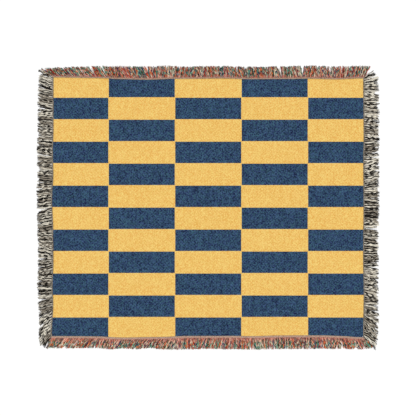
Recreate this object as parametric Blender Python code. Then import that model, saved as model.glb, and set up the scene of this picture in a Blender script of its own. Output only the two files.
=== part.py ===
"""Flat woven throw with a fringe on all four sides, laid out on a surface.

Lengths are in metres, angles in degrees, and +Z is up. The origin is on the
surface, under the middle of the throw's box. The warp runs along Y, so its
cut ends are the fringe of the +Y and -Y sides. The weft runs along X.

Each side is worked out in its own frame, in which the edge runs along +X and
the fringe points to -Y. A turn about +Z then brings the side to its place.
"""

import math
import random
from dataclasses import dataclass
from typing import NamedTuple

import bmesh
import bpy
import numpy as np
from mathutils import Vector

# The patterned cloth.
CLOTH_WIDTH = 1.386
CLOTH_HEIGHT = 1.150
CLOTH_THICKNESS = 0.0022
CHECK_WIDTH = 0.297
CHECK_HEIGHT = 0.0982

# The plain woven strip outside the pattern, which holds the fringe.
HEADER_THICKNESS = 0.0020
WARP_HEADER = 0.008
LOWER_WARP_HEADER = 0.011
WEFT_HEADER = 0.007
PIECE_GAP = 0.0003

# The fringe, in locks of yarn.
LOCK_ROOT_SHARE = 0.80
LENGTH_SPREAD = 0.10
SWAY_ANGLE = 5.0
SWAY_PITCH = 0.130
BEND_ANGLE = 9.0
BEND_PITCH = 0.300
JITTER_ANGLE = 2.0

# Points along each edge of the cloth.
EDGE_NODES = 41

# Half the side of the square grid that each header is made from.
GRID_HALF = 0.5

# Faces whose normals have a Y below this look away from the cloth.
FACING_OUT = -0.5

MUSTARD = (0.84, 0.54, 0.15, 1.0)
NAVY = (0.035, 0.065, 0.13, 1.0)
WARP_YARN = (0.28, 0.19, 0.14, 1.0)
WEFT_YARN = (0.21, 0.19, 0.16, 1.0)
CLOTH_ROUGHNESS = 0.92
YARN_ROUGHNESS = 0.88

MM = 0.001


class BowRow(NamedTuple):
    """How far the cloth's edge stands out at one place along it, in millimetres."""

    along: float
    out: float


class LockSection(NamedTuple):
    """One section of a lock: its place along it, its share of the root's width, its height."""

    place: float
    width: float
    height: float


class Fan(NamedTuple):
    """How the fringe opens round a corner: the last lock's lean, and the length it takes."""

    lean: float
    length: float


LOCK_SECTIONS = (
    LockSection(0.30, 0.95, 0.0030),
    LockSection(0.68, 0.80, 0.0032),
    LockSection(1.00, 0.50, 0.0018),
)
CROWN_SHARE = 0.5

BOWS = {
    "lower": (
        BowRow(-680, -1.3), BowRow(-498, 0.0), BowRow(-386, 5.6), BowRow(-230, 3.1),
        BowRow(-78, -2.0), BowRow(128, -2.2), BowRow(181, -0.6), BowRow(325, -3.8),
        BowRow(512, -4.5), BowRow(593, -1.5), BowRow(680, 4.0),
    ),
    "right": (
        BowRow(-560, -0.5), BowRow(-371, 1.6), BowRow(-228, -1.0), BowRow(31, 0.9),
        BowRow(236, -0.6), BowRow(290, 1.4), BowRow(560, -0.4),
    ),
    "upper": (
        BowRow(-680, 2.0), BowRow(-575, -2.2), BowRow(-441, 0.9), BowRow(-369, -1.1),
        BowRow(-172, -1.8), BowRow(-83, 1.8), BowRow(140, 0.0), BowRow(274, -4.0),
        BowRow(409, -1.1), BowRow(462, 2.7), BowRow(680, 6.5),
    ),
    "left": (
        BowRow(-560, -1.8), BowRow(-344, -1.8), BowRow(-254, 0.9), BowRow(-147, -1.3),
        BowRow(-40, 4.5), BowRow(103, -0.6), BowRow(246, -1.6), BowRow(354, 2.7),
        BowRow(425, -0.9), BowRow(560, 5.0),
    ),
}


@dataclass(frozen=True)
class Side:
    """One side of the throw.

    turn brings the side from -Y to its place, and reach is from the cloth's
    middle to this edge. The fans are at the side's -X and +X ends.
    """

    name: str
    turn: float
    half_length: float
    reach: float
    header: float
    lock_length: float
    locks: int
    fan_start: Fan
    fan_end: Fan
    yarn: tuple

    def smooth_bow(self, along):
        """How far the edge stands out there: a half wave between each two rows."""
        rows = BOWS[self.name]
        if along <= rows[0].along * MM:
            return rows[0].out * MM
        for before, after in zip(rows, rows[1:]):
            if along <= after.along * MM:
                share = (along / MM - before.along) / (after.along - before.along)
                rise = (1 - math.cos(math.pi * share)) / 2
                return (before.out + (after.out - before.out) * rise) * MM
        return rows[-1].out * MM

    def nodes(self):
        """Places along the edge at which the cloth's outline has a point."""
        return np.linspace(-self.half_length, self.half_length, EDGE_NODES)

    def edge(self, along):
        """Distance of the cloth's edge from its middle, straight between the nodes."""
        nodes = self.nodes()
        outs = [self.smooth_bow(node) for node in nodes]
        return self.reach + float(np.interp(along, nodes, outs))


WIDE, TALL = CLOTH_WIDTH / 2, CLOTH_HEIGHT / 2
SIDES = (
    Side(
        "lower", 0, WIDE, TALL, LOWER_WARP_HEADER, 0.042, 80,
        Fan(24, 0.400), Fan(42, 0.085), WARP_YARN,
    ),
    Side(
        "right", 90, TALL, WIDE, WEFT_HEADER, 0.062, 68,
        Fan(38, 0.085), Fan(42, 0.060), WEFT_YARN,
    ),
    Side(
        "upper", 180, WIDE, TALL, WARP_HEADER, 0.043, 80,
        Fan(24, 0.085), Fan(46, 0.110), WARP_YARN,
    ),
    Side(
        "left", 270, TALL, WIDE, WEFT_HEADER, 0.057, 68,
        Fan(34, 0.085), Fan(64, 0.270), WEFT_YARN,
    ),
)


def clear_scene():
    """Removes every object, so that the script starts from an empty scene."""
    for obj in list(bpy.data.objects):
        bpy.data.objects.remove(obj)


def make_material(name, colour, roughness):
    """A matt material of one colour."""
    material = bpy.data.materials.new(name)
    material.use_nodes = True
    shader = material.node_tree.nodes["Principled BSDF"]
    shader.inputs["Base Color"].default_value = colour
    shader.inputs["Roughness"].default_value = roughness
    shader.inputs["Metallic"].default_value = 0.0
    return material


def add_checks(material):
    """Gives the cloth its two-colour checks, counted from the cloth's middle.

    A check has its middle on the Y axis and its edge on the X axis, so the
    checker is moved by half a check in X.
    """
    tree = material.node_tree
    place = tree.nodes.new("ShaderNodeTexCoord")
    scale = tree.nodes.new("ShaderNodeMapping")
    scale.inputs["Location"].default_value = (0.5, 0.0, 0.5)
    scale.inputs["Scale"].default_value = (1 / CHECK_WIDTH, 1 / CHECK_HEIGHT, 0.0)
    checks = tree.nodes.new("ShaderNodeTexChecker")
    checks.inputs["Color1"].default_value = MUSTARD
    checks.inputs["Color2"].default_value = NAVY
    checks.inputs["Scale"].default_value = 1.0
    tree.links.new(place.outputs["Object"], scale.inputs["Vector"])
    tree.links.new(scale.outputs["Vector"], checks.inputs["Vector"])
    shader = tree.nodes["Principled BSDF"]
    tree.links.new(checks.outputs["Color"], shader.inputs["Base Color"])


def turned(point, degrees):
    """A point in plan, turned about the origin."""
    angle = math.radians(degrees)
    x, y = point
    return (
        x * math.cos(angle) - y * math.sin(angle),
        x * math.sin(angle) + y * math.cos(angle),
    )


def cloth_outline():
    """The cloth's outline in plan, counter-clockwise.

    Each corner is where two neighbouring edges, kept at their end values,
    would meet. It is made once, as the first point of the side after it.
    """
    points = []
    for before, side in zip((SIDES[-1], *SIDES[:-1]), SIDES):
        nodes = side.nodes()
        corner = (-before.edge(before.half_length), -side.edge(nodes[0]))
        points.append(turned(corner, side.turn))
        for along in nodes[1:-1]:
            points.append(turned((along, -side.edge(along)), side.turn))
    return points


def build_cloth(collection, parent):
    """The patterned cloth: a flat sheet with the uneven outline it lies in."""
    outline = bpy.data.curves.new("woven_cloth", "CURVE")
    outline.dimensions = "2D"
    outline.fill_mode = "BOTH"
    outline.extrude = CLOTH_THICKNESS / 2
    spline = outline.splines.new("POLY")
    points = cloth_outline()
    spline.points.add(len(points) - 1)
    for spot, (x, y) in zip(spline.points, points):
        spot.co = (x, y, 0.0, 1.0)
    spline.use_cyclic_u = True
    cloth = bpy.data.objects.new("woven_cloth", outline)
    cloth.location.z = CLOTH_THICKNESS / 2
    material = make_material("checked_cloth", MUSTARD, CLOTH_ROUGHNESS)
    add_checks(material)
    outline.materials.append(material)
    collection.objects.link(cloth)
    cloth.parent = parent


def header_stations(side):
    """Places along the header's outer wall: a gap, a lock, a gap, and so on.

    The wall is longer than the cloth's edge by the header's width at each
    end, where the strip is mitred.
    """
    pitch = 2 * (side.half_length + side.header) / side.locks
    half_root = pitch * LOCK_ROOT_SHARE / 2
    stations = [-side.half_length - side.header]
    for number in range(side.locks):
        middle = stations[0] + pitch * (number + 0.5)
        stations += [middle - half_root, middle + half_root]
    stations.append(side.half_length + side.header)
    return stations


def build_header(bm, side):
    """The header strip as a closed bar along the cloth's edge.

    It starts as a grid one cell deep. The grid's row of points at +Y follows
    the cloth's edge, and its row at -Y becomes the outer wall's foot.
    """
    stations = header_stations(side)
    grid = bmesh.ops.create_grid(
        bm, x_segments=len(stations) - 1, y_segments=1, size=GRID_HALF
    )
    inner_share = side.half_length / (side.half_length + side.header)
    for vert in grid["verts"]:
        number = round((vert.co.x / GRID_HALF + 1) / 2 * (len(stations) - 1))
        outer = stations[number]
        inner = outer * inner_share
        if vert.co.y > 0:
            vert.co = (inner, -side.edge(inner) - PIECE_GAP, 0.0)
        else:
            vert.co = (outer, -side.edge(inner) - PIECE_GAP - side.header, 0.0)
    raised = bmesh.ops.extrude_face_region(bm, geom=list(bm.faces))["geom"]
    for vert in raised:
        if isinstance(vert, bmesh.types.BMVert):
            vert.co.z = HEADER_THICKNESS
    bmesh.ops.recalc_face_normals(bm, faces=bm.faces)


def lock_roots(bm):
    """The outer wall's faces that locks grow from, in order along the side."""
    wall = [face for face in bm.faces if face.normal.y < FACING_OUT]
    wall.sort(key=lambda face: face.calc_center_median().x)
    return wall[1::2]


def fan_lean(side, along):
    """How far the fringe leans where it opens round a corner."""
    hand, fan = (1, side.fan_end) if along > 0 else (-1, side.fan_start)
    from_end = side.half_length + side.header - abs(along)
    return hand * fan.lean * max(0.0, 1 - from_end / fan.length)


def set_section(face, middle, across, width, height):
    """Puts the four corners of a lock's section: a wide foot on the surface,
    and a narrower crown above it."""
    before = face.calc_center_median()
    for vert in face.verts:
        offset = vert.co - before
        hand = 1.0 if offset.dot(across) > 0 else -1.0
        is_crown = offset.z > 0
        half = width / 2 * (CROWN_SHARE if is_crown else 1.0)
        vert.co = middle + across * (hand * half)
        vert.co.z = height if is_crown else 0.0


def grow_lock(bm, root, side, rng):
    """Extrudes one lock from its root, level on the surface, leaning and bent.

    Locks that lean are crowded, so each is narrower by the lean's cosine.
    """
    middle = root.calc_center_median()
    middle.z = 0.0
    xs = [vert.co.x for vert in root.verts]
    root_width = max(xs) - min(xs)
    sway = SWAY_ANGLE * math.sin(2 * math.pi * middle.x / SWAY_PITCH + side.turn)
    lean = sway + fan_lean(side, middle.x) + rng.uniform(-JITTER_ANGLE, JITTER_ANGLE)
    bend = BEND_ANGLE * math.sin(2 * math.pi * middle.x / BEND_PITCH)
    length = side.lock_length * rng.uniform(1 - LENGTH_SPREAD, 1.0)
    face, reached = root, 0.0
    for section in LOCK_SECTIONS:
        angle = math.radians(lean + bend * (section.place - LOCK_SECTIONS[0].place))
        step = (section.place - reached) * length
        middle += Vector((math.sin(angle), -math.cos(angle), 0.0)) * step
        across = Vector((math.cos(angle), math.sin(angle), 0.0))
        width = root_width * section.width * math.cos(angle)
        face = bmesh.ops.extrude_discrete_faces(bm, faces=[face])["faces"][0]
        set_section(face, middle, across, width, section.height)
        reached = section.place


def build_fringe(side, collection, parent):
    """One side's fringe: the header strip with its locks, fused at their roots."""
    bm = bmesh.new()
    build_header(bm, side)
    rng = random.Random(side.name)
    for root in lock_roots(bm):
        grow_lock(bm, root, side, rng)
    bmesh.ops.recalc_face_normals(bm, faces=bm.faces)
    mesh = bpy.data.meshes.new(f"fringe_{side.name}")
    bm.to_mesh(mesh)
    bm.free()
    mesh.materials.append(make_material(f"yarn_{side.name}", side.yarn, YARN_ROUGHNESS))
    fringe = bpy.data.objects.new(f"fringe_{side.name}", mesh)
    fringe.rotation_euler.z = math.radians(side.turn)
    collection.objects.link(fringe)
    fringe.parent = parent
    return fringe


def centre_on_box(parent, fringes):
    """Moves the throw so that the origin is under the middle of its box."""
    bpy.context.view_layer.update()
    corners = [
        fringe.matrix_world @ Vector(corner)
        for fringe in fringes
        for corner in fringe.bound_box
    ]
    for axis in range(2):
        values = [corner[axis] for corner in corners]
        parent.location[axis] = -(min(values) + max(values)) / 2


def main():
    """Builds the cloth and its four fringes."""
    clear_scene()
    collection = bpy.data.collections.new("woven_throw")
    bpy.context.scene.collection.children.link(collection)
    throw = bpy.data.objects.new("woven_throw", None)
    collection.objects.link(throw)
    build_cloth(collection, throw)
    fringes = [build_fringe(side, collection, throw) for side in SIDES]
    centre_on_box(throw, fringes)


main()
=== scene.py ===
"""Looks of a woven throw that lies spread out on a pale floor, seen from above.

The throw is one jacquard cloth in mustard and navy checks. Past each of its four
edges runs a narrow plain woven strip, and out of the strip comes a fringe of
loose twisted yarn: the warp ends above and below, the weft ends left and right.

Lengths are in metres unless a name says otherwise, and angles in degrees. Each
side is worked out in its own frame, in which the cloth's edge runs along +X, the
cloth lies at +Y of it and the fringe points to -Y. A turn about +Z brings it home.
"""

import logging
import math
from dataclasses import dataclass
from enum import Enum
from typing import NamedTuple

import bpy
import numpy as np
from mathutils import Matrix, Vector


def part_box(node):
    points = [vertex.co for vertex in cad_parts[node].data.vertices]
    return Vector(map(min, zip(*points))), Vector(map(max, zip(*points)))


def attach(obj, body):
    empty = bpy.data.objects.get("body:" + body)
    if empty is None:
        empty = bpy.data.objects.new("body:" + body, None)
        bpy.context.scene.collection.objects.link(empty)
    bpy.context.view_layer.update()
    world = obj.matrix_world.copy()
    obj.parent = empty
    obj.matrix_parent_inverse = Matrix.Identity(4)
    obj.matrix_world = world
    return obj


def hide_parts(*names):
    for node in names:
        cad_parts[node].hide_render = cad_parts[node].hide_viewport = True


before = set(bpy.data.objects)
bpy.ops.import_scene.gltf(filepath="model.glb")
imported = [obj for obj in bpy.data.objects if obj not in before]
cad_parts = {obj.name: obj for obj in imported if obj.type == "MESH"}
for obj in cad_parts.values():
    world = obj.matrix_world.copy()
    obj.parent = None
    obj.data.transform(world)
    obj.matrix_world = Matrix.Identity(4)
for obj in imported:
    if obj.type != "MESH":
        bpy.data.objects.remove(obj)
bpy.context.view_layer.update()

LOG = logging.getLogger("throw")
MM = 0.001

# The photograph's frame: metres for a pixel, its side in pixels, and the pixel whose middle is
# over the origin.
PIXEL = 0.00447
PHOTO_SIDE = 416
ORIGIN_PIXEL = (208.0, 207.25)

# The checks: their size, and how far the middle of the pattern lies from the origin.
CHECK_WIDTH = 0.2970
CHECK_HEIGHT = 0.0982
PATTERN_MIDDLE = (-0.0012, 0.0019)

# Points of the solid cloth less than this far in from an edge's outermost point are on that edge.
EDGE_BAND = 0.014

# The dressed face starts this far under the solid's, so that what stands out of it stays near.
FACE_DROP = 0.1 * MM

# Clear gap between the cloth and the strip along its edge.
PIECE_GAP = 0.3 * MM

# Scene light on a level white surface, by which a photographed colour is divided.
LIGHT_LEVEL = 1.15

# Roughness of cotton cloth and yarn, and every finish's specular level and strength of relief.
COTTON_ROUGHNESS = 0.92
MATT_SPECULAR = 0.2
RELIEF_STRENGTH = 0.8

# Shares of a band's three colours: its middle one, its light one and its dark one.
BAND_SHARES = (0.4, 0.3, 0.3)

# A colour is linear red, green, blue and alpha, a range is a lower and an upper limit, and a
# material's number is a socket or a constant.
Colour = tuple[float, float, float, float]
Colours = tuple[Colour, ...]
Range = tuple[float, float]
Socket = bpy.types.NodeSocket
Number = Socket | float


def photo_colour(red: int, green: int, blue: int) -> Colour:
    """Surface colour that looks like a photographed one under the scene's light.

    Each channel is taken from its display value to linear light by the sRGB curve,
    and divided by the light level.

    Args:
        red: Display value of red, 0 to 255.
        green: Display value of green.
        blue: Display value of blue.

    Returns:
        Linear red, green, blue and alpha.
    """
    channels = []
    for value in (red, green, blue):
        share = value / 255
        linear = share / 12.92 if share <= 0.04045 else ((share + 0.055) / 1.055) ** 2.4
        channels.append(min(1.0, linear / LIGHT_LEVEL))
    return (*channels, 1.0)


def photo_colours(*values: tuple[int, int, int]) -> Colours:
    """Surface colours that look like several photographed ones."""
    return tuple(photo_colour(*value) for value in values)


class Side(Enum):
    """The throw's four sides, each with the turn about +Z that brings it from -Y."""

    LOWER = 0
    RIGHT = 90
    UPPER = 180
    LEFT = 270

    @property
    def word(self) -> str:
        """The side's name in lower case, as in the names of the solids."""
        return self.name.lower()

    @property
    def turn(self) -> tuple[int, int]:
        """Cosine and sine of the side's turn, which are whole numbers."""
        angle = math.radians(self.value)
        return round(math.cos(angle)), round(math.sin(angle))

    def home(self, along: np.ndarray, across: np.ndarray) -> tuple[np.ndarray, np.ndarray]:
        """The throw's X and Y of points in the side's own frame, whose fringe is at less than 0 across."""
        cosine, sine = self.turn
        return along * cosine - across * sine, along * sine + across * cosine

    def local(self, x: np.ndarray, y: np.ndarray) -> tuple[np.ndarray, np.ndarray]:
        """Places along the side and across it, for points given by the throw's X and Y."""
        cosine, sine = self.turn
        return x * cosine + y * sine, y * cosine - x * sine


@dataclass(frozen=True)
class Edge:
    """One edge of the cloth, read from the solid: how far out it lies at each place along it."""

    side: Side
    along: np.ndarray
    out: np.ndarray

    @classmethod
    def of_solid(cls, side: Side, outline: np.ndarray) -> "Edge":
        """Picks one side's points out of the solid cloth's outline.

        Args:
            side: The side that is wanted.
            outline: X and Y of the outline's points, in any order.

        Returns:
            The edge, with its points in order along the side.
        """
        along, across = side.local(outline[:, 0], outline[:, 1])
        near = -across > (-across).max() - EDGE_BAND
        order = np.argsort(along[near])
        return cls(side, along[near][order], -across[near][order])

    @property
    def start(self) -> float:
        """Where the edge begins along the side."""
        return float(self.along[0])

    @property
    def length(self) -> float:
        """The edge's length along the side."""
        return float(self.along[-1] - self.along[0])

    def reach(self, along: np.ndarray) -> np.ndarray:
        """The edge's distance from the origin at each place along it."""
        return np.interp(along, self.along, self.out)

    def curve(self, share: np.ndarray) -> np.ndarray:
        """Points of the edge in the throw's frame, by their share of its length."""
        along = self.start + share * self.length
        return np.stack(self.side.home(along, -self.reach(along)), axis=-1)


def read_edges() -> dict[Side, Edge]:
    """The four edges of the solid cloth.

    Returns:
        Each side's edge.
    """
    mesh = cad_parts["woven_cloth"].data
    points = np.empty(len(mesh.vertices) * 3, np.float32)
    mesh.vertices.foreach_get("co", points)
    outline = np.unique(np.round(points.reshape(-1, 3)[:, :2], 6), axis=0)
    return {side: Edge.of_solid(side, outline) for side in Side}


def face_height() -> float:
    """Height over the floor at which the dressed cloth's face starts."""
    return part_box("woven_cloth")[1].z - FACE_DROP


def smooth_noise(x: np.ndarray, y: np.ndarray, pitch: float, rng: np.random.Generator) -> np.ndarray:
    """Soft noise from -1 to 1.

    Random numbers stand on a square lattice of the given pitch. Between them the
    value is blended in both directions by the weight 3t^2 - 2t^3.

    Args:
        x: X of the points.
        y: Y of the points.
        pitch: Distance between two lattice points.
        rng: Source of the lattice's numbers.

    Returns:
        The noise at each point.
    """
    u, v = (x - x.min()) / pitch, (y - y.min()) / pitch
    column, row = np.floor(u).astype(int), np.floor(v).astype(int)
    lattice = rng.uniform(-1, 1, (row.max() + 2, column.max() + 2))
    s, t = ease(u - column), ease(v - row)
    low = lattice[row, column] * (1 - s) + lattice[row, column + 1] * s
    high = lattice[row + 1, column] * (1 - s) + lattice[row + 1, column + 1] * s
    return low * (1 - t) + high * t


def ease(share: np.ndarray) -> np.ndarray:
    """Rises from 0 to 1 by 3t^2 - 2t^3, where t is the share, and stays there."""
    held = np.clip(share, 0.0, 1.0)
    return held * held * (3 - 2 * held)


def put_mesh(
    name: str,
    points: np.ndarray,
    faces: list[np.ndarray],
    uvs: list[np.ndarray] | None = None,
) -> bpy.types.Object:
    """Makes a smooth-shaded mesh object at the origin.

    Args:
        name: The piece's name.
        points: The points, one row each.
        faces: Groups of faces, each an array with one row of point numbers a face.
        uvs: For each group, an array of the same shape with a last axis of U and V.

    Returns:
        The new object, linked to the scene.
    """
    mesh = bpy.data.meshes.new(name)
    corners = np.concatenate([group.ravel() for group in faces]).astype(np.int32)
    sizes = np.concatenate([np.full(len(group), group.shape[1]) for group in faces])
    starts = np.concatenate([[0], np.cumsum(sizes)[:-1]]).astype(np.int32)
    mesh.vertices.add(len(points))
    mesh.vertices.foreach_set("co", points.astype(np.float32).ravel())
    mesh.loops.add(len(corners))
    mesh.loops.foreach_set("vertex_index", corners)
    mesh.polygons.add(len(sizes))
    mesh.polygons.foreach_set("loop_start", starts)
    mesh.polygons.foreach_set("use_smooth", np.ones(len(sizes), bool))
    if uvs is not None:
        layer = mesh.uv_layers.new(name="weave")
        flat = np.concatenate([group.reshape(-1, 2) for group in uvs])
        layer.uv.foreach_set("vector", flat.astype(np.float32).ravel())
    mesh.update(calc_edges=True)
    mesh.validate()
    piece = bpy.data.objects.new(name, mesh)
    bpy.context.scene.collection.objects.link(piece)
    return piece


def add_attribute(piece: bpy.types.Object, name: str, values: np.ndarray, domain: str) -> None:
    """Gives a piece's mesh an attribute: a number, or a colour where the values have four columns.

    Args:
        piece: The piece.
        name: The attribute's name, which its material reads.
        values: One value for each element of the domain.
        domain: POINT or FACE.
    """
    kind, field = ("FLOAT_COLOR", "color") if values.ndim == 2 else ("FLOAT", "value")
    attribute = piece.data.attributes.new(name, kind, domain)
    attribute.data.foreach_set(field, values.astype(np.float32).ravel())


@dataclass(frozen=True)
class Relief:
    """A finish's raised pattern, with painted shade that darkens the colour in its grooves and a painted
    highlight that lightens it on its crests.

    The colour is multiplied by a level, which goes from the painted shade's to the painted highlight's
    as the height goes from 0 to the crests' height. The depth is that of height 1.
    """

    depth: float
    # Painted shade: the colour's level in the grooves. Painted highlight: its level on the crests.
    groove: float
    crest: float
    crest_height: float = 1.0


class Graph:
    """A new material's node tree, with short calls for the nodes that the finishes share."""

    def __init__(self, name: str, roughness: float, sheen: float) -> None:
        """Makes the material.

        Args:
            name: The material's name.
            roughness: Its roughness, the same all over.
            sheen: Weight of the soft sheen of its fibres.
        """
        self.material = bpy.data.materials.new(name)
        self.material.use_nodes = True
        self.tree = self.material.node_tree
        self.shader = self.tree.nodes["Principled BSDF"]
        self.shader.inputs["Roughness"].default_value = roughness
        self.shader.inputs["Sheen Weight"].default_value = sheen
        self.shader.inputs["Specular IOR Level"].default_value = MATT_SPECULAR

    def node(self, kind: str, inputs: dict[int | str, object], **settings: object) -> bpy.types.Node:
        """Adds a node.

        Args:
            kind: The node's type.
            inputs: A socket or a constant for each input, by its name or number.
            **settings: The node's own settings.

        Returns:
            The node.
        """
        made = self.tree.nodes.new(kind)
        for key, value in settings.items():
            setattr(made, key, value)
        for key, value in inputs.items():
            if isinstance(value, Socket):
                self.tree.links.new(value, made.inputs[key])
            else:
                made.inputs[key].default_value = value
        return made

    def math(self, operation: str, first: Number, second: Number = 0.0) -> Socket:
        """One step of arithmetic on two numbers."""
        return self.node("ShaderNodeMath", {0: first, 1: second}, operation=operation).outputs[0]

    def combine(self, x: Number, y: Number, z: Number) -> Socket:
        """A vector of three numbers."""
        return self.node("ShaderNodeCombineXYZ", {0: x, 1: y, 2: z}).outputs[0]

    def separate(self, vector: Socket) -> tuple[Socket, Socket, Socket]:
        """A vector's three numbers."""
        return tuple(self.node("ShaderNodeSeparateXYZ", {0: vector}).outputs)

    def attribute(self, name: str, output: str) -> Socket:
        """A mesh attribute, as a colour (Color) or as a number (Fac)."""
        return self.node("ShaderNodeAttribute", {}, attribute_name=name).outputs[output]

    def uv(self) -> tuple[Socket, Socket]:
        """U and V of the piece's own map."""
        u, v, _ = self.separate(self.node("ShaderNodeUVMap", {}, uv_map="weave").outputs[0])
        return u, v

    def mix(self, share: Number, first: Socket | Colour, second: Socket | Colour) -> Socket:
        """Blends two colours by a share that is held from 0 to 1."""
        inputs = {"Factor": share, 6: first, 7: second}
        return self.node("ShaderNodeMix", inputs, data_type="RGBA").outputs[2]

    def cell(self, value: Socket, size: float) -> Socket:
        """Number of the cell that a value is in, in a row of cells of one size."""
        return self.math("FLOOR", self.math("DIVIDE", value, size))

    def span(self, value: Socket, source: Range, target: Range) -> Socket:
        """Takes a number from one range to another, held at its ends."""
        inputs = dict(enumerate((value, *source, *target)))
        return self.node("ShaderNodeMapRange", inputs).outputs[0]

    def half_waves(self, value: Socket) -> Socket:
        """Half sine waves, all upright, each as long as 1: the size of the sine of pi times a number."""
        return self.math("ABSOLUTE", self.math("SINE", self.math("MULTIPLY", value, math.pi)))

    def noise(self, vector: Socket, pitch: float) -> Socket:
        """Soft noise about 0.5, whose patches are about as long as the pitch."""
        inputs = {"Vector": vector, "Scale": 1.0 / pitch, "Detail": 1.0, "Roughness": 0.55}
        return self.node("ShaderNodeTexNoise", inputs).outputs[0]

    def chance(self, x: Number, y: Number, draw: float) -> Socket:
        """A random number from 0 to 1 for each pair of whole numbers. Another draw gives other ones."""
        return self.node("ShaderNodeTexWhiteNoise", {"Vector": self.combine(x, y, draw)}).outputs["Value"]

    def weigh(self, draws: list[tuple[float, Socket]]) -> Socket:
        """Adds up random numbers: a half, plus each one's distance from a half times its weight.

        Args:
            draws: Each weight and its random number.

        Returns:
            The sum, about 0.5.
        """
        total = 0.5 - 0.5 * sum(weight for weight, _ in draws)
        for weight, draw in draws:
            total = self.math("ADD", self.math("MULTIPLY", draw, weight), total)
        return total

    def choose(self, value: Socket, colours: Colours) -> Socket:
        """The colour of a band whose share a number falls in.

        Args:
            value: A number from 0 to 1.
            colours: The band's middle, light and dark colour.

        Returns:
            The colour.
        """
        made = self.node("ShaderNodeValToRGB", {"Fac": value})
        ramp = made.color_ramp
        ramp.interpolation = "CONSTANT"
        begin = 0.0
        for number, (share, colour) in enumerate(zip(BAND_SHARES, colours)):
            stop = ramp.elements[0] if number == 0 else ramp.elements.new(begin)
            stop.position, stop.color = begin, colour
            begin += share
        ramp.elements.remove(ramp.elements[-1])
        return made.outputs["Color"]

    def finish(self, colour: Socket, height: Socket, relief: Relief) -> bpy.types.Material:
        """Wires the colour, with its painted shade and painted highlight, and the relief into the shader.

        Args:
            colour: The colour before the relief's painted shade and painted highlight darken or lighten
                it.
            height: Height of the relief, 0 to 1.
            relief: How the height is turned into depth and shade.

        Returns:
            The material.
        """
        # Painted shade and painted highlight: the colour is multiplied by a level that follows the
        # relief's height.
        level = self.span(height, (0.0, relief.crest_height), (relief.groove, relief.crest))
        inputs = {"Factor": 1.0, 6: colour, 7: self.combine(level, level, level)}
        shaded = self.node("ShaderNodeMix", inputs, data_type="RGBA", blend_type="MULTIPLY")
        inputs = {"Height": height, "Distance": relief.depth, "Strength": RELIEF_STRENGTH}
        bump = self.node("ShaderNodeBump", inputs)
        self.tree.links.new(bump.outputs[0], self.shader.inputs["Normal"])
        self.tree.links.new(shaded.outputs[2], self.shader.inputs["Base Color"])
        return self.material


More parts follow.
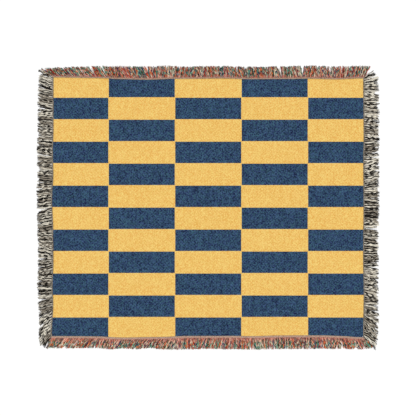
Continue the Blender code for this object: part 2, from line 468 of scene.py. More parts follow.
@dataclass(frozen=True)
class CheckedWeave:
    """The cloth's finish: stitches of mustard and navy, set out in checks.

    Mustard is the ground. A navy check stands back from its cell's four sides by
    about one stitch, so that thin mustard bridges join the mustard checks. Flecks,
    slubs and the waffle are measured in stitches, and each family of colours goes
    from its darkest to its lightest.
    """

    stitch_width: float = CHECK_WIDTH / 270
    stitch_height: float = CHECK_HEIGHT / 60
    inset: float = 0.9
    # Painted shade between the stitches and a painted highlight on their domes, from the relief's levels.
    relief: Relief = Relief(0.35 * MM, groove=0.80, crest=1.05, crest_height=0.7)
    fleck_columns: float = 3.0
    fleck_rows: float = 2.0
    slub_length: float = 14.0
    slub_shift: float = 50.0
    stitch_weight: float = 0.9
    fleck_weight: float = 1.0
    slub_weight: float = 0.35
    waffle_columns: float = 14.0
    waffle_rows: float = 9.0
    waffle: float = 0.20
    hue_pitch: float = 7.0 * MM
    hue_change: Range = (0.35, 0.65)
    golds: Colours = photo_colours((235, 179, 83), (255, 222, 128))
    ambers: Colours = photo_colours((238, 176, 85), (255, 218, 128))
    indigos: Colours = photo_colours((0, 6, 62), (67, 96, 136))
    teals: Colours = photo_colours((0, 12, 50), (63, 104, 122))

    def make(self) -> bpy.types.Material:
        """Builds the material.

        A stitch is a cell of a brick grid, whose every second column is half a
        stitch lower. Its middle says which check it is in, and it has one shade.
        Soft noise mixes each check's two families of colour. The underside shows
        the two colours the other way round.

        Returns:
            The material.
        """
        graph = Graph("checked_weave", COTTON_ROUGHNESS, sheen=0.1)
        place = graph.node("ShaderNodeTexCoord", {}).outputs["Object"]
        terms = {0: place, 1: (*PATTERN_MIDDLE, 0.0)}
        centred = graph.node("ShaderNodeVectorMath", terms, operation="SUBTRACT").outputs[0]
        x, y, _ = graph.separate(centred)
        across = graph.math("DIVIDE", x, self.stitch_width)
        column = graph.math("FLOOR", across)
        drop = graph.math("MULTIPLY", graph.math("FLOORED_MODULO", column, 2.0), 0.5)
        up = graph.math("ADD", graph.math("DIVIDE", y, self.stitch_height), drop)
        row = graph.math("FLOOR", up)
        middle_x = graph.math("MULTIPLY", graph.math("ADD", column, 0.5), self.stitch_width)
        middle_row = graph.math("SUBTRACT", graph.math("ADD", row, 0.5), drop)
        middle_y = graph.math("MULTIPLY", middle_row, self.stitch_height)
        is_navy = self.navy_test(graph, middle_x, middle_y)
        is_reverse = graph.attribute("reverse_side", "Fac")
        shows_navy = graph.math("ABSOLUTE", graph.math("SUBTRACT", is_navy, is_reverse))
        shade = self.shade(graph, column, row)
        hue = graph.span(graph.noise(centred, self.hue_pitch), self.hue_change, (0.0, 1.0))
        mustard = graph.mix(hue, graph.mix(shade, *self.golds), graph.mix(shade, *self.ambers))
        navy = graph.mix(hue, graph.mix(shade, *self.indigos), graph.mix(shade, *self.teals))
        colour = graph.mix(shows_navy, mustard, navy)
        return graph.finish(colour, self.dome(graph, across, up), self.relief)

    def shade(self, graph: Graph, column: Socket, row: Socket) -> Socket:
        """A stitch's place between its family's darkest colour, 0, and its lightest, 1.

        It is the weighed sum of four random numbers, which belong to the stitch, to
        a small fleck and to the slubs of the two yarns that cross there, plus the
        weave's faint waffle, which is the product of two cosines.

        Args:
            graph: The material that is being built.
            column: The stitch's column.
            row: The stitch's row.

        Returns:
            The place, about 0.5.
        """
        yarn_up = graph.cell(column, self.fleck_columns)
        yarn_across = graph.cell(row, self.fleck_rows)
        slub_up = self.slub(graph, row, graph.chance(yarn_up, 0.0, draw=2.0))
        slub_across = self.slub(graph, column, graph.chance(0.0, yarn_across, draw=3.0))
        total = graph.weigh([
            (self.stitch_weight, graph.chance(column, row, draw=4.0)),
            (self.fleck_weight, graph.chance(yarn_up, yarn_across, draw=5.0)),
            (self.slub_weight, graph.chance(yarn_up, slub_up, draw=6.0)),
            (self.slub_weight, graph.chance(slub_across, yarn_across, draw=7.0)),
        ])
        wave_x = graph.math("COSINE", graph.math("MULTIPLY", column, 2 * math.pi / self.waffle_columns))
        wave_y = graph.math("COSINE", graph.math("MULTIPLY", row, 2 * math.pi / self.waffle_rows))
        waffle = graph.math("MULTIPLY", graph.math("MULTIPLY", wave_x, wave_y), self.waffle)
        return graph.math("ADD", total, waffle)

    def slub(self, graph: Graph, place: Socket, chance: Socket) -> Socket:
        """Number of the slub that a stitch is on, where each yarn's slubs start at a place of its own."""
        start = graph.math("MULTIPLY", chance, self.slub_shift)
        return graph.math("FLOOR", graph.math("ADD", graph.math("DIVIDE", place, self.slub_length), start))

    def navy_test(self, graph: Graph, x: Socket, y: Socket) -> Socket:
        """1 where a stitch's middle is in a navy check, and 0 elsewhere.

        The pattern's middle is in the middle of a column of checks and between two
        rows, and navy checks are those whose column and row add up to an even
        number.

        Args:
            graph: The material that is being built.
            x: X of the stitch's middle, from the pattern's.
            y: Y of the stitch's middle, from the pattern's.

        Returns:
            1 or 0.
        """
        over = graph.math("ADD", graph.math("DIVIDE", x, CHECK_WIDTH), 0.5)
        up = graph.math("DIVIDE", y, CHECK_HEIGHT)
        cells = graph.math("ADD", graph.math("FLOOR", over), graph.math("FLOOR", up))
        odd = graph.math("FLOORED_MODULO", cells, 2.0)
        inset_x = self.inset * self.stitch_width / CHECK_WIDTH
        inset_y = self.inset * self.stitch_height / CHECK_HEIGHT
        inside_x = graph.math("GREATER_THAN", graph.math("PINGPONG", over, 0.5), inset_x)
        inside_y = graph.math("GREATER_THAN", graph.math("PINGPONG", up, 0.5), inset_y)
        inside = graph.math("MULTIPLY", inside_x, inside_y)
        return graph.math("MULTIPLY", inside, graph.math("SUBTRACT", 1.0, odd))

    def dome(self, graph: Graph, across: Socket, up: Socket) -> Socket:
        """Height of a stitch: the root of the product of two half sine waves."""
        product = graph.math("MULTIPLY", graph.half_waves(across), graph.half_waves(up))
        return graph.math("POWER", product, 0.5)


@dataclass(frozen=True)
class StripWeave:
    """Finish of the plain woven strip past the checks: many colours, closely mixed.

    The strip has two bands, one beside the cloth and one beside the loose yarns.
    Each has a middle, a light and a dark colour. The yarns' roots take on the root
    tint, which fades over a share of their length.
    """

    width: float
    inner: Colours
    outer: Colours
    root_tint: Colour
    root_stain: float
    root_fade: float
    patch_length: float = 2.2 * MM
    patch_width: float = 2.6 * MM
    patch_weight: float = 0.7
    ends_pitch: float = 1.4 * MM
    picks_pitch: float = 1.3 * MM
    stitch_weight: float = 0.6
    band_change: Range = (0.35, 0.75)
    # Painted shade between the picks and a painted highlight on their tops.
    relief: Relief = Relief(0.3 * MM, groove=0.8, crest=1.03)

    def make(self, name: str) -> bpy.types.Material:
        """Builds the material.

        U runs along the strip and V across it, in metres. A stitch is where a warp
        end crosses a pick. Its colour is chosen by the weighed sum of two random
        numbers, its own and its patch's. The picks raise the strip by half sine
        waves, with painted shade between them and a painted highlight on their tops.

        Args:
            name: The material's name.

        Returns:
            The material.
        """
        graph = Graph(name, COTTON_ROUGHNESS, sheen=0.05)
        u, v = graph.uv()
        pick = graph.math("DIVIDE", v, self.picks_pitch)
        end = graph.cell(u, self.ends_pitch)
        patch_u, patch_v = graph.cell(u, self.patch_length), graph.cell(v, self.patch_width)
        draw = graph.weigh([
            (self.patch_weight, graph.chance(patch_u, patch_v, draw=3.0)),
            (self.stitch_weight, graph.chance(end, graph.math("FLOOR", pick), draw=4.0)),
        ])
        first, last = self.band_change
        band = graph.span(v, (first * self.width, last * self.width), (0.0, 1.0))
        colour = graph.mix(band, graph.choose(draw, self.inner), graph.choose(draw, self.outer))
        return graph.finish(colour, graph.half_waves(pick), self.relief)


@dataclass(frozen=True)
class TwistedYarn:
    """Finish of the loose yarns: two plies, each its own colour, twisted together."""

    # Painted shade in the hollow between the plies and a painted highlight on their tops.
    relief: Relief = Relief(0.3 * MM, groove=0.70, crest=1.04, crest_height=0.5)

    def make(self) -> bpy.types.Material:
        """Builds the material.

        U counts the turns of the twist along the yarn and V goes once round it. The
        first ply is where the sine of a turn of U plus V is positive, the second
        where it is negative, and the hollow between them, where it is near 0, has
        painted shade, with a painted highlight on the plies' tops.

        Returns:
            The material.
        """
        graph = Graph("twisted_yarn", COTTON_ROUGHNESS, sheen=0.04)
        u, v = graph.uv()
        wave = graph.math("SINE", graph.math("MULTIPLY", graph.math("ADD", u, v), 2 * math.pi))
        is_first = graph.math("GREATER_THAN", wave, 0.0)
        first, second = graph.attribute("first_ply", "Color"), graph.attribute("second_ply", "Color")
        colour = graph.mix(is_first, first, second)
        return graph.finish(colour, graph.math("ABSOLUTE", wave), self.relief)


@dataclass
class WovenCloth:
    """The patterned cloth: one thin sheet with the outline of the solid."""

    edges: dict[Side, Edge]
    columns: int = 320
    rows: int = 264
    swell: float = 0.35 * MM
    swell_pitch: float = 42 * MM
    pucker: float = 0.16 * MM
    pucker_pitch: float = 9 * MM
    seed: int = 11

    def plan(self) -> np.ndarray:
        """X and Y of the sheet's grid.

        The four edges are blended as a Coons patch: the blend of the lower and
        upper edge, plus the blend of the left and right edge, less the blend of
        the four corners.

        Returns:
            An array of rows by columns by 2.
        """
        u = np.linspace(0, 1, self.columns + 1)
        v = np.linspace(0, 1, self.rows + 1)
        lower, upper = self.edges[Side.LOWER].curve(u), self.edges[Side.UPPER].curve(1 - u)
        left, right = self.edges[Side.LEFT].curve(1 - v), self.edges[Side.RIGHT].curve(v)
        a, b = u[None, :, None], v[:, None, None]
        between_ends = (1 - b) * lower[None] + b * upper[None]
        between_sides = (1 - a) * left[:, None] + a * right[:, None]
        lower_corners = (1 - a) * lower[0] + a * lower[-1]
        upper_corners = (1 - a) * upper[0] + a * upper[-1]
        return between_ends + between_sides - ((1 - b) * lower_corners + b * upper_corners)

    def build(self) -> bpy.types.Object:
        """Makes the sheet, closed by a flat underside and a wall round its edge.

        The face's height is the starting height plus its swell and its pucker, which
        are soft noise at two pitches.

        Returns:
            The piece, with its finish.
        """
        rng = np.random.default_rng(self.seed)
        plan = self.plan()
        x, y = plan[..., 0], plan[..., 1]
        height = np.full(x.shape, face_height())
        height += self.swell * smooth_noise(x, y, self.swell_pitch, rng)
        height += self.pucker * smooth_noise(x, y, self.pucker_pitch, rng)
        top = np.stack([x, y, height], axis=-1).reshape(-1, 3)
        number = np.arange(x.size).reshape(x.shape)
        quads = np.stack([number[:-1, :-1], number[:-1, 1:], number[1:, 1:], number[1:, :-1]], axis=-1)
        rim = np.concatenate([number[0, :-1], number[:-1, -1], number[-1, :0:-1], number[:0:-1, 0]])
        foot = top[rim] * (1, 1, 0)
        below = np.arange(len(rim)) + len(top)
        wall = np.stack([below, np.roll(below, -1), np.roll(rim, -1), rim], axis=-1)
        faces = [quads.reshape(-1, 4), wall, below[::-1][None]]
        piece = put_mesh("checked_cloth", np.concatenate([top, foot]), faces)
        is_reverse = np.zeros(len(piece.data.polygons))
        is_reverse[-1] = 1.0
        add_attribute(piece, "reverse_side", is_reverse, "FACE")
        piece.data.materials.append(CheckedWeave().make())
        return piece


@dataclass
class WovenStrip:
    """The plain woven strip along one of the cloth's edges: a closed bar, mitred at its two ends.

    The section's points are shares of the strip's width, from the cloth outwards,
    and of its height.
    """

    edge: Edge
    weave: StripWeave
    seed: int
    steps: int = 420
    crown_noise: float = 0.2 * MM
    crown_pitch: float = 6 * MM
    section: tuple[tuple[float, float], ...] = (
        (0.0, 0.0), (1.0, 0.0), (1.0, 0.60), (0.88, 0.92),
        (0.66, 1.0), (0.34, 1.0), (0.12, 0.92), (0.0, 0.70),
    )

    def build(self) -> bpy.types.Object:
        """Makes the strip.

        Its section is a flat foot, two upright sides and a crown whose height is a
        flat arch with soft noise on it. The section is carried along the cloth's
        edge, and its places are stretched towards the outer side for the mitre.

        Returns:
            The piece, with its finish.
        """
        rng = np.random.default_rng(self.seed)
        across, crown = np.array(self.section).T
        across = across * self.weave.width
        share = np.linspace(-1, 1, self.steps + 1)[:, None]
        inner = self.edge.start + self.edge.length / 2 + share * self.edge.length / 2
        along = inner + share * across
        out = self.edge.reach(inner) + PIECE_GAP + across
        noise = self.crown_noise * smooth_noise(along, out, self.crown_pitch, rng)
        x, y = self.edge.side.home(along, -out)
        points = np.stack([x, y, crown * (face_height() + noise)], axis=-1).reshape(-1, 3)
        number = np.arange(along.size).reshape(along.shape)
        after = np.roll(number, -1, axis=1)
        quads = np.stack([number[:-1], number[1:], after[1:], after[:-1]], axis=-1)
        faces = [quads.reshape(-1, 4), number[0][None], number[-1][::-1][None]]
        place = np.stack([along, np.broadcast_to(across, along.shape)], axis=-1).reshape(-1, 2)
        word = self.edge.side.word
        piece = put_mesh(f"strip_{word}", points, faces, [place[group] for group in faces])
        piece.data.materials.append(self.weave.make(f"strip_weave_{word}"))
        return piece


class YarnShade(NamedTuple):
    """One colour of yarn, whether it is a light one, and its share of the light or of the dark ones."""

    share: float
    is_light: bool
    colour: Colour


@dataclass(frozen=True)
class YarnKind:
    """What a fringe's loose yarns are like, and how they lie.

    A strand has from the fewest to the most yarns of strand_yarns, and marled is the
    share of strands whose two plies differ in colour. The leans, and stray, say how
    far the locks and strands differ in direction and in the phase of their waves.
    """

    slot: str
    shades: list[YarnShade]
    strand_yarns: tuple[int, int]
    marled: float
    wave: float
    wave_pitch: float
    stray: float
    lock_lean: float
    strand_lean: float


class FringeRow(NamedTuple):
    """A place along the side, and the fringe's lean to +X and length there, with distances in mm."""

    along: float
    lean: float
    length: float


def fringe_rows(*rows: tuple[float, float, float]) -> list[FringeRow]:
    """A fringe's rows, each given as its place, lean and length."""
    return [FringeRow(*row) for row in rows]


@dataclass(frozen=True)
class YarnPlan:
    """Where a fringe's yarns are rooted, an item each.

    They have a place along the side, a layer from the floor up, a strand, a lock,
    and a distance from the lock's middle.
    """

    root: np.ndarray
    layer: np.ndarray
    strand: np.ndarray
    lock: np.ndarray
    aside: np.ndarray

    @property
    def strands(self) -> int:
        """How many strands there are."""
        return int(self.strand.max()) + 1

    @property
    def locks(self) -> int:
        """How many locks there are."""
        return int(self.lock.max()) + 1


@dataclass
class Fringe:
    """One side's fringe: its woven strip, and the loose yarns that are rooted in it.

    The yarns lie in layers. In each layer a few neighbours of one colour make a
    strand. The strands of a lock lean the same way and draw together at its tip.

    A range holds the limits of a draw. root_jitter is a yarn's place in its share of
    the strip, gather the share of the way to its lock's middle that its end goes,
    and dip_waves its number of dips. The other draws multiply what they are named
    for. trim isn't drawn: it limits how far a leaning yarn is lengthened or
    shortened to end level with the rest. Levels, the dip, the root's radius, the
    belly and the taper are in yarn radii.
    """

    strip: WovenStrip
    rows: list[FringeRow]
    kind: YarnKind
    seed: int
    strand_cut: Range
    gather: Range
    lightness: float
    count: int = 1800
    layers: int = 3
    lock_width: float = 16 * MM
    lock_widths: Range = (0.5, 1.5)
    root_jitter: Range = (0.1, 0.9)
    tuck_share: float = 0.25
    under_freedom: float = 0.3
    under_length: float = 0.86
    yarn_lean: float = 1.5
    bend_pivot: float = 0.4
    yarn_cut: Range = (0.97, 1.01)
    trim: Range = (0.8, 1.1)
    swings: Range = (0.5, 1.5)
    wave_counts: Range = (0.7, 1.3)
    sway_start: float = 0.3
    layer_levels: tuple[float, ...] = (1.0, 2.7, 3.5)
    level_spread: float = 0.3
    lowest_level: float = 0.8
    root_height: float = 1.0 * MM
    rise_share: float = 0.2
    sink: float = 0.35
    dip: float = 0.8
    dip_waves: Range = (1.6, 2.8)
    turn_break: float = 0.1
    colour_levels: Range = (0.88, 1.12)
    tint_contrast: float = 0.6
    plain_ply_level: float = 0.92
    twist_pitch: float = 26 * MM
    twist_pitches: Range = (0.7, 1.4)
    yarn_radius: float = 1.2 * MM
    radii: Range = (0.8, 1.15)
    root_radius: float = 0.9
    belly: float = 0.25
    taper: float = 0.2
    sections: int = 13
    corners: int = 4

    @property
    def edge(self) -> Edge:
        """The edge of the cloth that the fringe runs along."""
        return self.strip.edge

    @property
    def tuck(self) -> float:
        """How far a yarn starts inside the strip's outer side."""
        return self.tuck_share * self.strip.weave.width

    @property
    def way(self) -> np.ndarray:
        """Shares of a yarn's length at which its sections are."""
        return np.linspace(0, 1, self.sections)

    def set_out(self, rng: np.random.Generator) -> YarnPlan:
        """Roots the yarns evenly along the strip, layer by layer, in strands and locks.

        Args:
            rng: Source of every draw.

        Returns:
            The yarns' plan.
        """
        count = self.count // self.layers
        first = self.edge.start - self.strip.weave.width
        span = self.edge.length + 2 * self.strip.weave.width
        layer = np.repeat(np.arange(self.layers)[:, None], count, axis=1)
        root = first + (np.arange(count) + rng.uniform(*self.root_jitter, layer.shape)) * span / count
        fewest, most = self.kind.strand_yarns
        sizes = rng.integers(fewest, most + 1, layer.size)
        strand = np.repeat(np.arange(layer.size), sizes)[:layer.size]
        widths = rng.uniform(*self.lock_widths, int(span / self.lock_width))
        bounds = first + np.concatenate([[0.0], np.cumsum(widths)]) / widths.sum() * span
        lock = np.clip(np.searchsorted(bounds, root.ravel()) - 1, 0, len(widths) - 1)
        aside = root.ravel() - (bounds[lock] + bounds[lock + 1]) / 2
        return YarnPlan(root.ravel(), layer.ravel(), strand, lock, aside)

    def paths(self, plan: YarnPlan, rng: np.random.Generator) -> np.ndarray:
        """Centre lines of the yarns, from inside the strip to their cut ends.

        A yarn's direction is its lean, plus its bend times the way past the bend's
        pivot. Its place is the integral of its direction times its length, and its
        sway moves it aside.

        Args:
            plan: The yarns' plan.
            rng: Source of every draw.

        Returns:
            Points by yarn and section, in the throw's frame.
        """
        along, lean, reach = (np.array(self.rows) * (MM, 1.0, MM)).T
        common = np.interp(plan.root, along, lean)
        own = common + self.turned(plan, rng) + rng.normal(0, self.yarn_lean, len(common))
        bend = self.turned(plan, rng)
        angle = np.radians(own[:, None] + bend[:, None] * (self.way - self.bend_pivot))
        aside, ahead = self.integral(np.sin(angle)), self.integral(np.cos(angle))
        length = np.interp(plan.root, along, reach) - self.strip.weave.width + self.tuck
        length = length * self.cut(plan, np.cos(np.radians(common)) / ahead[:, -1], rng)
        sway = self.sway(plan, length, rng)
        root_out = self.edge.reach(plan.root) + PIECE_GAP + self.strip.weave.width - self.tuck
        x, y = self.edge.side.home(
            plan.root[:, None] + aside * length[:, None] + sway * np.cos(angle),
            sway * np.sin(angle) - ahead * length[:, None] - root_out[:, None],
        )
        return np.stack([x, y, self.heights(plan, rng)], axis=-1)

    @staticmethod
    def integral(values: np.ndarray) -> np.ndarray:
        """Running integral along a yarn whose length is 1, by the trapezoid rule."""
        steps = (values[:, 1:] + values[:, :-1]) / 2 / (values.shape[1] - 1)
        return np.concatenate([np.zeros((len(values), 1)), np.cumsum(steps, axis=1)], axis=1)

    def freedom(self, plan: YarnPlan) -> np.ndarray:
        """How freely each yarn strays from the fringe's own lean: less in the lowest layer."""
        return np.where(plan.layer == 0, self.under_freedom, 1.0)

    def turned(self, plan: YarnPlan, rng: np.random.Generator) -> np.ndarray:
        """Draws an angle for each yarn: a part from its lock, and a part from its strand.

        Args:
            plan: The yarns' plan.
            rng: Source of every draw.

        Returns:
            The angles.
        """
        locks = rng.normal(0, self.kind.lock_lean, plan.locks)[plan.lock]
        strands = rng.normal(0, self.kind.strand_lean, plan.strands)[plan.strand]
        return self.freedom(plan) * (locks + strands)

    def cut(self, plan: YarnPlan, level: np.ndarray, rng: np.random.Generator) -> np.ndarray:
        """How much of the fringe's length each yarn is cut to.

        The fringe is cut level, its strands a little unevenly, and the lowest layer
        is shorter than those above it.

        Args:
            plan: The yarns' plan.
            level: The share at which a yarn would end in line with its neighbours.
            rng: Source of every draw.

        Returns:
            The shares.
        """
        strands = rng.uniform(*self.strand_cut, plan.strands)[plan.strand]
        single = rng.uniform(*self.yarn_cut, len(plan.root))
        under = np.where(plan.layer == 0, self.under_length, 1.0)
        return np.clip(level, *self.trim) * strands * single * under

    def sway(self, plan: YarnPlan, length: np.ndarray, rng: np.random.Generator) -> np.ndarray:
        """How far the yarns are moved aside along their length.

        A lock's yarns share a sine wave, and they draw together, or a little apart,
        towards their ends.

        Args:
            plan: The yarns' plan.
            length: Their lengths.
            rng: Source of every draw.

        Returns:
            Distances to the side, by yarn and section.
        """
        swing = self.kind.wave * self.freedom(plan) * rng.uniform(*self.swings, plan.locks)[plan.lock]
        waves = rng.uniform(*self.wave_counts, plan.locks)[plan.lock] * length / self.kind.wave_pitch
        stray = rng.normal(0, self.kind.stray, plan.strands)[plan.strand]
        phase = rng.uniform(0, 1, plan.locks)[plan.lock] + stray
        wave = np.sin(2 * np.pi * (waves[:, None] * self.way + phase[:, None])) * swing[:, None]
        drawn = self.freedom(plan) * rng.uniform(*self.gather, plan.locks)[plan.lock] * plan.aside
        return wave * ease(self.way / self.sway_start) - drawn[:, None] * ease(self.way)

    def heights(self, plan: YarnPlan, rng: np.random.Generator) -> np.ndarray:
        """Heights of the yarns' centre lines over the floor.

        A yarn rises from inside the strip to its layer, sinks about a third of the
        way back by its end, and dips under and over its neighbours by a sine wave.

        Args:
            plan: The yarns' plan.
            rng: Source of every draw.

        Returns:
            Heights by yarn and section.
        """
        spread = rng.normal(0, self.level_spread, plan.strands)[plan.strand]
        level = self.yarn_radius * (np.array(self.layer_levels)[plan.layer] + spread)
        dip = self.dip * self.yarn_radius * np.minimum(plan.layer, 1)
        waves = rng.uniform(*self.dip_waves, plan.strands)[plan.strand]
        phase = rng.uniform(0, 1, plan.strands)[plan.strand]
        wave = dip[:, None] * np.sin(2 * np.pi * (waves[:, None] * self.way + phase[:, None]))
        rise = level[:, None] * (1 - self.sink * self.way**2) + wave - self.root_height
        height = self.root_height + rise * ease(self.way / self.rise_share)
        return np.maximum(height, self.lowest_level * self.yarn_radius)

    def colours(self, plan: YarnPlan, rng: np.random.Generator) -> np.ndarray:
        """Draws the colour of one ply of every yarn, from its root to its end.

        Strands are light and dark mostly in turns. Near its root a yarn takes on
        the tint of the strip, which eases away along it and is lighter on a light
        yarn.

        Args:
            plan: The yarns' plan.
            rng: Source of the draws.

        Returns:
            Red, green, blue and alpha by yarn and section.
        """
        shades, weave = self.kind.shades, self.strip.weave
        turns = np.arange(plan.strands) + np.cumsum(rng.random(plan.strands) < self.turn_break)
        is_light = turns % 2 == 1
        shares = np.array([shade.share for shade in shades])
        weights = shares * (np.array([shade.is_light for shade in shades]) == is_light[:, None])
        limits = np.cumsum(weights / weights.sum(axis=1, keepdims=True), axis=1)
        chosen = (rng.random(plan.strands)[:, None] > limits).sum(axis=1).clip(0, len(shares) - 1)
        colour = np.array([shade.colour for shade in shades])[chosen[plan.strand]]
        colour[:, :3] *= self.lightness * rng.uniform(*self.colour_levels, len(colour))[:, None]
        lightness = colour[:, :3].mean(axis=1, keepdims=True)
        tint = np.tile(weave.root_tint, (len(colour), 1))
        tint[:, :3] *= (lightness / lightness.mean()) ** self.tint_contrast
        stain = weave.root_stain * (1 - ease(self.way / weave.root_fade))[None, :, None]
        return np.clip(colour[:, None] * (1 - stain) + tint[:, None] * stain, 0, 1)

    def build(self) -> bpy.types.Object:
        """Makes the loose yarns, each a closed tube along its centre line.

        A ring's points are the centre plus the radius times the cosine of the turn
        along the level normal and its sine along the upward one. The radius is the
        root's, plus a belly of half a sine wave, less a taper by the fourth power of
        the way along the yarn.

        Returns:
            The piece, with its finish.
        """
        rng = np.random.default_rng(self.seed)
        plan = self.set_out(rng)
        centre = self.paths(plan, rng)
        first_ply, second_ply = self.colours(plan, rng), self.colours(plan, rng)
        is_plain = (rng.random(plan.strands) > self.kind.marled)[plan.strand][:, None, None]
        plain_ply = first_ply.copy()
        plain_ply[..., :3] *= self.plain_ply_level
        second_ply = np.where(is_plain, plain_ply, second_ply)
        count, sections = centre.shape[:2]
        tangent = np.gradient(centre, axis=1)
        tangent /= np.linalg.norm(tangent, axis=-1, keepdims=True)
        level = np.cross((0.0, 0.0, 1.0), tangent)
        level /= np.linalg.norm(level, axis=-1, keepdims=True)
        upward = np.cross(tangent, level)
        swollen = self.root_radius + self.belly * np.sin(np.pi * self.way)
        radius = self.yarn_radius * (swollen - self.taper * self.way**4)
        radius = radius[None, :] * rng.uniform(*self.radii, count)[:, None]
        turn = 2 * np.pi * np.arange(self.corners) / self.corners
        ring = level[:, :, None] * np.cos(turn)[:, None] + upward[:, :, None] * np.sin(turn)[:, None]
        points = centre[:, :, None] + ring * radius[:, :, None, None]
        points[..., 2] = np.maximum(points[..., 2], 0.0)
        number = np.arange(count * sections * self.corners).reshape(count, sections, self.corners)
        after = np.roll(number, -1, axis=2)
        quads = np.stack([number[:, :-1], after[:, :-1], after[:, 1:], number[:, 1:]], axis=-1)
        faces = [quads.reshape(-1, 4), number[:, 0, ::-1], number[:, -1]]
        uvs = self.twist(plan, centre, faces, rng)
        piece = put_mesh(f"yarns_{self.edge.side.word}", points.reshape(-1, 3), faces, uvs)
        for name, colour in (("first_ply", first_ply), ("second_ply", second_ply)):
            add_attribute(piece, name, np.repeat(colour, self.corners, axis=1).reshape(-1, 4), "POINT")
        piece.data.materials.append(TwistedYarn().make())
        return piece

    def twist(
        self, plan: YarnPlan, centre: np.ndarray, faces: list[np.ndarray], rng: np.random.Generator
    ) -> list[np.ndarray]:
        """U and V at the corners of the yarns' faces: turns of the twist, and share of the way round.

        The yarns of a strand are twisted alike.

        Args:
            plan: The yarns' plan.
            centre: The centre lines.
            faces: The tubes' quads, and the caps at both ends.
            rng: Source of each strand's twist.

        Returns:
            An array of U and V for each group of faces.
        """
        count, sections = centre.shape[:2]
        steps = np.linalg.norm(np.diff(centre, axis=1), axis=-1)
        length = np.concatenate([np.zeros((count, 1)), np.cumsum(steps, axis=1)], axis=1)
        pitch = self.twist_pitch * rng.uniform(*self.twist_pitches, plan.strands)[plan.strand]
        turns = length / pitch[:, None] + rng.uniform(0, 1, plan.strands)[plan.strand][:, None]
        u = np.repeat(turns[:, :, None], self.corners, axis=2)
        around = np.arange(self.corners) / self.corners
        here = np.broadcast_to(around, (count, sections - 1, self.corners))
        there = here + 1 / self.corners
        us = np.stack([u[:, :-1], u[:, :-1], u[:, 1:], u[:, 1:]], axis=-1)
        vs = np.stack([here, there, there, here], axis=-1)
        quads = np.stack([us, vs], axis=-1).reshape(-1, 4, 2)
        caps = [
            np.stack([u.ravel()[cap], np.broadcast_to(around, cap.shape)], axis=-1) for cap in faces[1:]
        ]
        return [quads, *caps]


WARP_YARNS = YarnKind(
    slot="warp_fringe",
    shades=[
        YarnShade(0.34, False, photo_colour(164, 54, 42)),
        YarnShade(0.28, False, photo_colour(58, 90, 60)),
        YarnShade(0.18, False, photo_colour(40, 60, 100)),
        YarnShade(0.20, False, photo_colour(38, 33, 31)),
        YarnShade(0.20, True, photo_colour(214, 148, 134)),
        YarnShade(0.20, True, photo_colour(226, 120, 60)),
        YarnShade(0.28, True, photo_colour(104, 162, 140)),
        YarnShade(0.32, True, photo_colour(226, 210, 182)),
    ],
    strand_yarns=(1, 2),
    marled=0.8,
    wave=1.2 * MM,
    wave_pitch=26 * MM,
    stray=0.2,
    lock_lean=7.5,
    strand_lean=6.0,
)
WEFT_YARNS = YarnKind(
    slot="weft_fringe",
    shades=[
        YarnShade(0.94, False, photo_colour(21, 15, 9)),
        YarnShade(0.06, False, photo_colour(84, 75, 66)),
        YarnShade(0.42, True, photo_colour(166, 156, 140)),
        YarnShade(0.58, True, photo_colour(245, 238, 221)),
    ],
    strand_yarns=(2, 3),
    marled=0.1,
    wave=1.7 * MM,
    wave_pitch=38 * MM,
    stray=0.06,
    lock_lean=5.0,
    strand_lean=3.0,
)

UPPER_STRIP = StripWeave(
    width=8 * MM,
    inner=photo_colours((166, 142, 120), (196, 172, 148), (134, 108, 90)),
    outer=photo_colours((172, 122, 108), (198, 150, 134), (142, 90, 80)),
    root_tint=photo_colour(182, 102, 92),
    root_stain=0.45,
    root_fade=0.35,
)
LOWER_STRIP = StripWeave(
    width=11 * MM,
    inner=photo_colours((182, 154, 134), (206, 179, 158), (150, 120, 104)),
    outer=photo_colours((192, 144, 126), (214, 172, 154), (164, 112, 98)),
    root_tint=photo_colour(212, 138, 120),
    root_stain=0.75,
    root_fade=0.6,
)
GREYS = photo_colours((108, 99, 89), (180, 169, 152), (44, 38, 33))
LATERAL_STRIP = StripWeave(
    width=5 * MM,
    inner=GREYS,
    outer=GREYS,
    root_tint=photo_colour(106, 97, 88),
    root_stain=0.2,
    root_fade=0.4,
    patch_length=5.5 * MM,
    patch_width=5 * MM,
)

UPPER_ROWS = fringe_rows(
    (-710, -30, 62), (-670, -18, 59), (-620, -5, 58), (-514, 8, 59), (-440, -2, 58), (-264, 17, 58),
    (-139, 6, 56), (-20, 11, 56), (112, -14, 56), (200, 6, 60), (362, 14, 60), (487, 30, 61),
    (610, 40, 59), (710, 52, 60),
)
LOWER_ROWS = fringe_rows(
    (-710, -12, 60), (-695, -14, 53), (-675, -22, 58), (-640, -36, 67), (-550, -40, 68),
    (-490, -30, 59), (-425, -18, 58), (-362, -38, 60), (-299, -22, 58), (-237, -38, 62),
    (-112, -6, 62), (13, -22, 62), (139, 2, 61), (326, 6, 62), (450, -3, 62), (560, 4, 60),
    (650, 6, 57), (690, 24, 56), (710, 44, 56),
)
LEFT_ROWS = fringe_rows(
    (-594, -4, 66), (-576, -16, 69), (-560, -25, 70), (-520, -15, 69), (-435, -5, 70),
    (-260, -4, 70), (-86, 2, 70), (-28, 9, 67), (88, 4, 69), (205, -7, 68), (263, 10, 69),
    (340, 1, 67), (410, 10, 67), (460, 26, 70), (495, 38, 79), (530, 46, 81), (550, 50, 79),
    (570, 54, 66), (585, 64, 56), (594, 76, 50),
)
RIGHT_ROWS = fringe_rows(
    (-590, -44, 78), (-553, -42, 83), (-495, -34, 78), (-460, -14, 70), (-430, -6, 66),
    (-370, -13, 66), (-263, -3, 68), (-146, -3, 69), (28, 0, 69), (144, 10, 70), (260, -1, 69),
    (435, -3, 70), (550, 4, 69), (572, 14, 70), (582, 46, 70), (592, 62, 72),
)


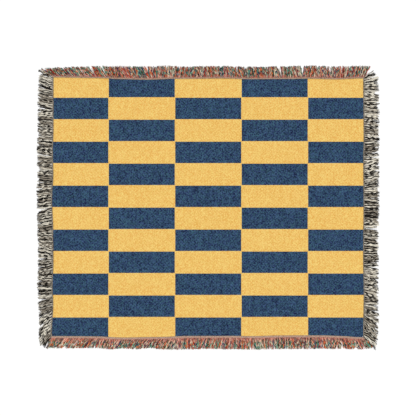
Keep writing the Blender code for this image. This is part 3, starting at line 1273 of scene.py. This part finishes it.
def make_fringes(edges: dict[Side, Edge]) -> list[Fringe]:
    """The four fringes, with what differs between them.

    Args:
        edges: The cloth's edges.

    Returns:
        The fringes, not yet built.
    """
    return [
        Fringe(
            WovenStrip(edges[Side.UPPER], UPPER_STRIP, seed=121), UPPER_ROWS, WARP_YARNS,
            seed=21, strand_cut=(0.91, 1.02), gather=(-0.10, 0.35), lightness=1.0,
        ),
        Fringe(
            WovenStrip(edges[Side.LOWER], LOWER_STRIP, seed=152), LOWER_ROWS, WARP_YARNS,
            seed=52, strand_cut=(0.95, 1.01), gather=(-0.10, 0.15), lightness=1.14,
        ),
        Fringe(
            WovenStrip(edges[Side.LEFT], LATERAL_STRIP, seed=153), LEFT_ROWS, WEFT_YARNS,
            seed=53, strand_cut=(0.87, 1.04), gather=(-0.10, 0.35), lightness=0.96,
        ),
        Fringe(
            WovenStrip(edges[Side.RIGHT], LATERAL_STRIP, seed=154), RIGHT_ROWS, WEFT_YARNS,
            seed=54, strand_cut=(0.83, 1.05), gather=(-0.10, 0.35), lightness=1.06,
        ),
    ]


@dataclass
class Studio:
    """The plain floor, the soft light and the camera straight above."""

    floor_radius: float = 14.0
    floor_sides: int = 64
    floor_drop: float = 0.05 * MM
    floor_level: float = 0.93
    lens: float = 200.0
    sensor: float = 36.0
    view_depth: float = 100.0
    sky: float = 0.70
    sun: float = 1.60
    sun_tilt: float = 32.0
    sun_turn: float = 40.0
    sun_softness: float = 24.0

    def build(self) -> bpy.types.Object:
        """Makes everything round the throw.

        Returns:
            The floor.
        """
        self.light()
        self.camera()
        return self.floor()

    def floor(self) -> bpy.types.Object:
        """Makes the pale floor: a level disc under the throw.

        Returns:
            The floor.
        """
        turn = np.linspace(0, 2 * np.pi, self.floor_sides, endpoint=False)
        x, y = np.cos(turn) * self.floor_radius, np.sin(turn) * self.floor_radius
        rim = np.stack([x, y, np.full(self.floor_sides, -self.floor_drop)], axis=-1)
        piece = put_mesh("floor", rim, [np.arange(self.floor_sides)[None]])
        graph = Graph("pale_floor", roughness=0.9, sheen=0.0)
        grey = self.floor_level
        graph.shader.inputs["Base Color"].default_value = (grey, grey, grey, 1.0)
        piece.data.materials.append(graph.material)
        return piece

    def light(self) -> None:
        """Makes an even white sky and one large soft sun."""
        scene = bpy.context.scene
        scene.view_settings.view_transform = "Standard"
        world = bpy.data.worlds.new("studio_sky")
        world.use_nodes = True
        backdrop = world.node_tree.nodes["Background"]
        backdrop.inputs["Color"].default_value = (1.0, 1.0, 1.0, 1.0)
        backdrop.inputs["Strength"].default_value = self.sky
        scene.world = world
        lamp = bpy.data.lights.new("soft_sun", "SUN")
        lamp.energy = self.sun
        lamp.angle = math.radians(self.sun_softness)
        sun = bpy.data.objects.new("soft_sun", lamp)
        sun.rotation_euler = (math.radians(self.sun_tilt), 0.0, math.radians(self.sun_turn))
        scene.collection.objects.link(sun)

    def camera(self) -> None:
        """Puts the camera straight above the photograph's middle, framed as the photograph is."""
        data = bpy.data.cameras.new("camera")
        data.lens = self.lens
        data.sensor_width = self.sensor
        data.clip_end = self.view_depth
        camera = bpy.data.objects.new("camera", data)
        middle = (PHOTO_SIDE - 1) / 2
        camera.location = (
            (middle - ORIGIN_PIXEL[0]) * PIXEL,
            (ORIGIN_PIXEL[1] - middle) * PIXEL,
            PHOTO_SIDE * PIXEL * self.lens / self.sensor,
        )
        bpy.context.scene.collection.objects.link(camera)
        bpy.context.scene.camera = camera


def place_piece(piece: bpy.types.Object, node: str) -> None:
    """Says what a piece rides on and which solid it stands for, and hides that solid.

    Args:
        piece: The piece.
        node: The solid's node.
    """
    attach(piece, "root")
    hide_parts(node)
    triangles = sum(len(face.vertices) - 2 for face in piece.data.polygons)
    LOG.info("%s: %d triangles, for %s", piece.name, triangles, node)


def main() -> None:
    """Builds the studio, the cloth and its four fringes in order."""
    logging.basicConfig(level=logging.INFO, format="%(message)s")
    edges = read_edges()
    floor = Studio().build()
    cloth = WovenCloth(edges).build()
    place_piece(cloth, "woven_cloth")
    for fringe in make_fringes(edges):
        for piece in (fringe.strip.build(), fringe.build()):
            place_piece(piece, f"fringe_{fringe.edge.side.word}")


if __name__ == "__main__":
    main()
